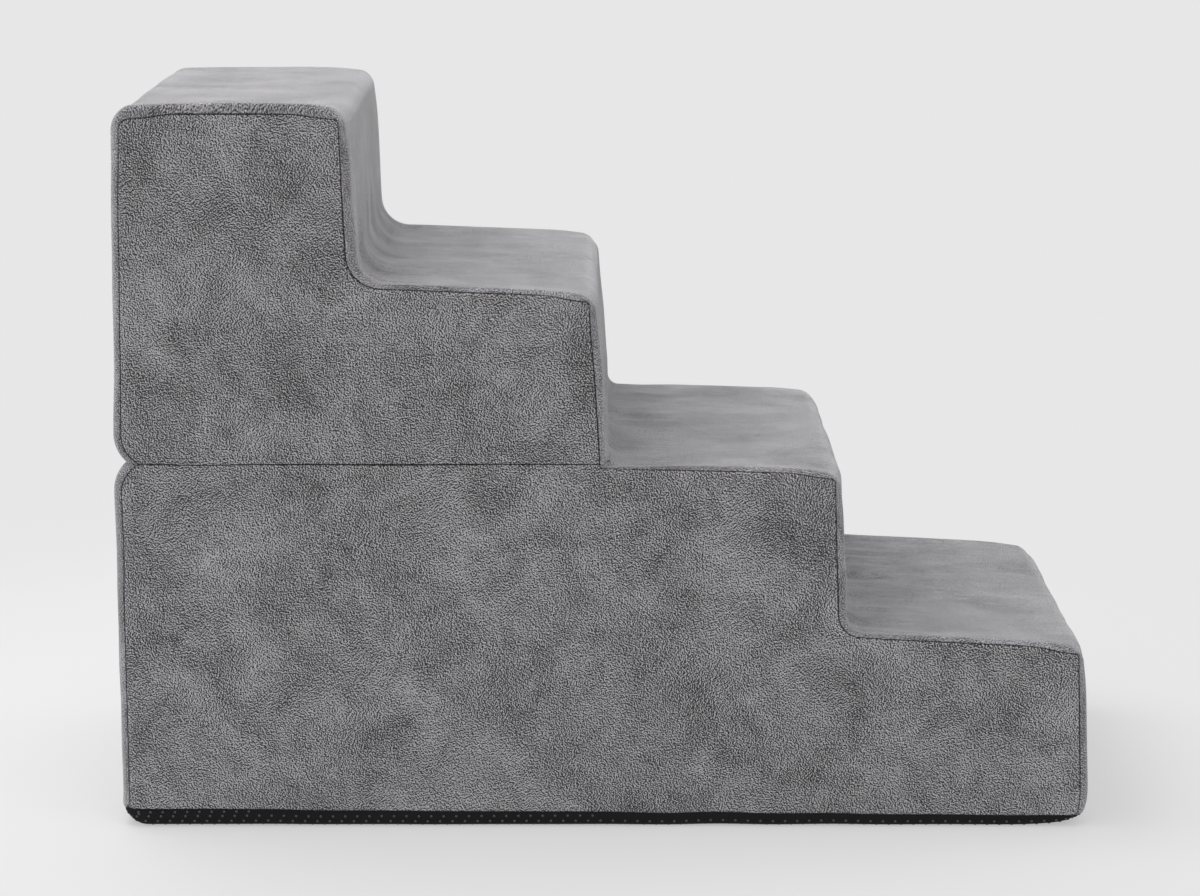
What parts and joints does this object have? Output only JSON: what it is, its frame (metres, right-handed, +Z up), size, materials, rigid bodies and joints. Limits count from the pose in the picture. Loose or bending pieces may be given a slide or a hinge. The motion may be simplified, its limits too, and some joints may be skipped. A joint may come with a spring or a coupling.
{
  "type": "pet stairs",
  "caption": "Foam pet stairs in a grey plush cover: a wide lower module and an upper module that folds forward on a fabric hinge, black anti-slip base, zips at the back.",
  "frame": {"origin": "middle of the underside, at the middle of the overall box", "axes": "+X from the back towards the lowest step, +Y across the treads, +Z up"},
  "size_m": [0.7778, 0.381, 0.5732],
  "materials": {
    "plush_side": "short-pile plush, brushed",
    "plush_strip": "short-pile plush, brushed",
    "base_fabric": "anti-slip fabric with rubber dots",
    "lining": "plain woven lining",
    "hook_and_loop": "hook and loop pad",
    "foam": "open-cell foam",
    "zip_tape": "woven zip tape",
    "zip_teeth": "moulded teeth",
    "zip_metal": "satin nickel"
  },
  "bodies": {
    "lower_module": {"base_panel": "base_fabric", "lower_foam_block": "foam", "lower_near_side_panel": "plush_side", "lower_far_side_panel": "plush_side", "lower_step_strip": "plush_strip", "lower_back_panel": "plush_strip", "lower_top_lining": "lining", "loop_pads": "hook_and_loop", "lower_hinge_leaf": "plush_strip", "lower_zip_tapes": "zip_tape", "lower_zip_teeth": "zip_teeth", "lower_zip_stops": "zip_metal"},
    "upper_module": {"upper_foam_block": "foam", "upper_near_side_panel": "plush_side", "upper_far_side_panel": "plush_side", "upper_step_strip": "plush_strip", "upper_underside_lining": "lining", "hook_pads": "hook_and_loop", "upper_hinge_leaf": "plush_strip", "upper_zip_tapes": "zip_tape", "upper_zip_teeth": "zip_teeth", "upper_zip_stops": "zip_metal"},
    "lower_zip_slider": {"lower_zip_slider": "zip_metal"},
    "lower_zip_pull": {"lower_zip_pull": "zip_metal"},
    "upper_zip_slider": {"upper_zip_slider": "zip_metal"},
    "upper_zip_pull": {"upper_zip_pull": "zip_metal"}
  },
  "joints": [
    {"name": "fold", "type": "hinge", "parent": "lower_module", "child": "upper_module", "pos_m": [0.00458, 0, 0.29526], "axis": [0, 1, 0], "range_deg": [0, 95]},
    {"name": "lower_zip_slide", "type": "slide", "parent": "lower_module", "child": "lower_zip_slider", "axis": [0, -1, 0], "range_m": [0, 0.2994]},
    {"name": "lower_pull_swing", "type": "hinge", "parent": "lower_zip_slider", "child": "lower_zip_pull", "pos_m": [-0.3896, 0.1497, 0.042], "axis": [0, 0, -1], "range_deg": [0, 180]},
    {"name": "upper_zip_slide", "type": "slide", "parent": "upper_module", "child": "upper_zip_slider", "axis": [0, -1, 0], "range_m": [0, 0.2994]},
    {"name": "upper_pull_swing", "type": "hinge", "parent": "upper_zip_slider", "child": "upper_zip_pull", "pos_m": [-0.38897, 0.1497, 0.33654], "axis": [-0.0151, 0, -0.9999], "range_deg": [0, 180]}
  ]
}
